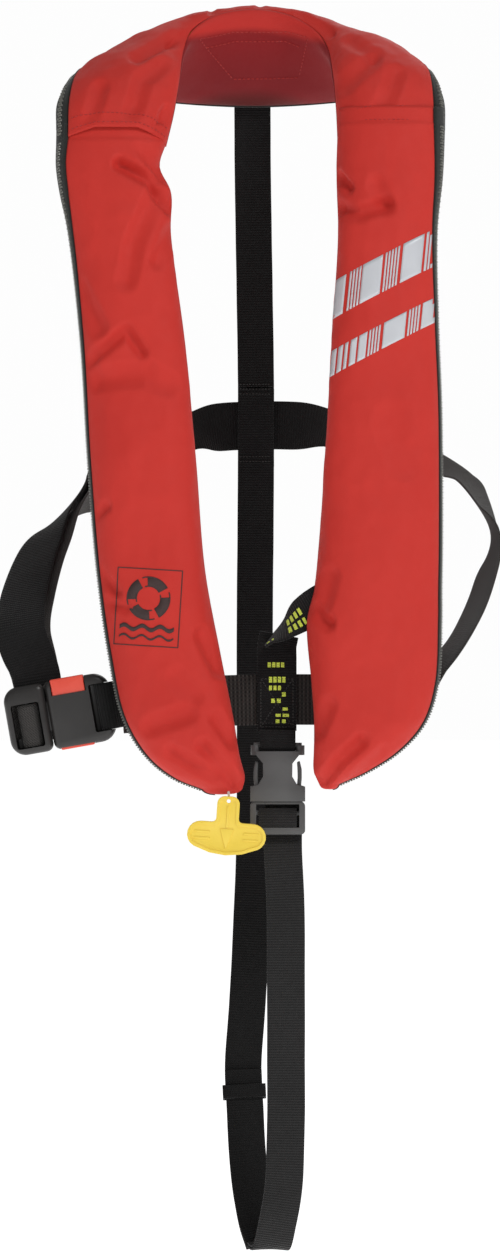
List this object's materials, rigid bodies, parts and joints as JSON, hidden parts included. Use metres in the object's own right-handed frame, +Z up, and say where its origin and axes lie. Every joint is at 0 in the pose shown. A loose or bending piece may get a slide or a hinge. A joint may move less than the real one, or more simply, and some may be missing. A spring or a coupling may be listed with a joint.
{
  "type": "inflatable life jacket",
  "caption": "Horseshoe inflatable life jacket in a red cover, with waist belt, push-button buckle, lifting strap, crotch strap and yellow pull handle, shown as worn.",
  "frame": {"origin": "middle of the neck opening, level with the inside of the collar at the nape", "axes": "+Z up along the wearer's body, -Y towards the wearer's front, +X towards the wearer's left side"},
  "size_m": [0.4024, 0.2216, 1.0055],
  "materials": {
    "cover": "heavy coated cloth, fine plain weave, soft sheen",
    "lining": "coated cloth, matt",
    "webbing": "polyester webbing, fine cross ribs",
    "belt": "polyester webbing, twill",
    "zip": "zip tape with moulded teeth",
    "bladder": "coated nylon",
    "dark_plastic": "moulded acetal, fine texture",
    "grey_plastic": "moulded acetal, fine texture",
    "red_plastic": "moulded, satin",
    "yellow_plastic": "moulded, satin",
    "white_cord": "braided cord",
    "steel": "plated",
    "green_steel": "painted cylinder",
    "rubber": "moulded"
  },
  "bodies": {
    "root": {"cover_front_left": "cover", "cover_front_right": "cover", "cover_collar": "cover", "cover_back_left": "lining", "cover_back_right": "lining", "cover_back_collar": "lining", "burst_zip_left": "zip", "burst_zip_right": "zip", "burst_zip_collar": "zip", "bladder_left": "bladder", "bladder_right": "bladder", "bladder_collar": "bladder", "belt_front": "webbing", "belt_right": "belt", "belt_back": "webbing", "belt_left_run": "belt", "belt_left_tail": "webbing", "back_strap": "webbing", "belt_loop": "webbing", "crotch_strap_rear": "webbing", "crotch_strap_loop": "webbing", "crotch_strap_front": "webbing", "crotch_strap_tail": "webbing", "lift_strap_lower": "webbing", "lift_strap_upper": "webbing", "crotch_tab": "webbing", "crotch_buckle_body": "grey_plastic", "buckle_body": "dark_plastic", "button_top_spring": "steel", "button_bottom_spring": "steel", "belt_end_wrap": "webbing", "inflator_body": "dark_plastic", "lever_pin": "steel", "pin_spring": "steel", "cylinder_gasket": "rubber", "manifold_stem": "rubber", "manifold_nut": "steel", "oral_tube": "rubber", "valve_spring": "steel", "whistle": "yellow_plastic"},
    "buckle_half": {"buckle_tongue": "dark_plastic", "adjuster_wrap": "belt"},
    "top_button": {"button_top": "red_plastic"},
    "bottom_button": {"button_bottom": "red_plastic"},
    "latch": {"crotch_buckle_latch": "grey_plastic", "crotch_wrap": "webbing"},
    "prong_left": {"latch_prong_left": "grey_plastic"},
    "prong_right": {"latch_prong_right": "grey_plastic"},
    "keeper": {"crotch_keeper": "webbing"},
    "slider": {"zip_slider": "steel"},
    "handle": {"pull_handle": "yellow_plastic", "pull_lanyard": "white_cord"},
    "lever": {"firing_lever": "yellow_plastic"},
    "pin": {"piercing_pin": "steel"},
    "cylinder": {"gas_cylinder": "green_steel"},
    "cartridge": {"dissolving_cartridge": "yellow_plastic"},
    "valve": {"oral_valve": "red_plastic"},
    "cap": {"oral_cap": "rubber"}
  },
  "joints": [
    {"name": "buckle_release", "type": "slide", "parent": "root", "child": "buckle_half", "axis": [-0.9848, 0, -0.1736], "range_m": [0, 0.034]},
    {"name": "button_top_press", "type": "slide", "parent": "root", "child": "top_button", "axis": [0.1736, 0, -0.9848], "range_m": [0, 0.0025], "stiffness_N_per_m": 900, "deforming": ["button_top_spring"]},
    {"name": "button_bottom_press", "type": "slide", "parent": "root", "child": "bottom_button", "axis": [-0.1736, 0, 0.9848], "range_m": [0, 0.0025], "stiffness_N_per_m": 900, "deforming": ["button_bottom_spring"]},
    {"name": "crotch_release", "type": "slide", "parent": "root", "child": "latch", "axis": [0, 0, -1], "range_m": [0, 0.036], "deforming": ["crotch_strap_front", "crotch_strap_tail"]},
    {"name": "prong_left_squeeze", "type": "hinge", "parent": "latch", "child": "prong_left", "pos_m": [0.007, -0.07, -0.59], "axis": [0, 1, 0], "range_deg": [0, 2.5], "stiffness_Nm_per_rad": 0.3},
    {"name": "prong_right_squeeze", "type": "hinge", "parent": "latch", "child": "prong_right", "pos_m": [0.0366, -0.07, -0.59], "axis": [0, 1, 0], "range_deg": [-2.5, 0], "stiffness_Nm_per_rad": 0.3},
    {"name": "keeper_slide", "type": "slide", "parent": "root", "child": "keeper", "axis": [0.0467, -0.3112, -0.9492], "range_m": [-0.005, 0.022]},
    {"name": "zip_run", "type": "slide", "parent": "root", "child": "slider", "axis": [0.9595, -0.2814, -0.0124], "range_m": [-0.008, 0.008]},
    {"name": "handle_pull", "type": "slide", "parent": "root", "child": "handle", "axis": [0, 0, -1], "range_m": [0, 0.022]},
    {"name": "lever_swing", "type": "hinge", "parent": "root", "child": "lever", "pos_m": [-0.057, -0.1005, -0.521], "axis": [0, 1, 0], "range_deg": [0, 40]},
    {"name": "pin_strike", "type": "slide", "parent": "root", "child": "pin", "axis": [0, 0, 1], "range_m": [0, 0.0031], "deforming": ["pin_spring"]},
    {"name": "cylinder_unscrew", "type": "hinge", "parent": "root", "child": "cylinder", "pos_m": [-0.066, -0.1005, -0.45], "axis": [0, 0, 1], "range_deg": [0, 1080]},
    {"name": "cartridge_unscrew", "type": "hinge", "parent": "root", "child": "cartridge", "pos_m": [-0.088, -0.1005, -0.512], "axis": [-1, 0, 0], "range_deg": [0, 720]},
    {"name": "valve_press", "type": "slide", "parent": "root", "child": "valve", "axis": [0, 0, -1], "range_m": [0, 0.003], "stiffness_N_per_m": 300, "deforming": ["valve_spring"]},
    {"name": "cap_lift", "type": "slide", "parent": "root", "child": "cap", "axis": [0, 0, 1], "range_m": [0, 0.02]}
  ],
  "couplings": [
    {"joint": "lever_swing", "follows": "handle_pull", "rad_per_m": 31.25},
    {"joint": "pin_strike", "follows": "handle_pull", "ratio": 0.13636}
  ]
}
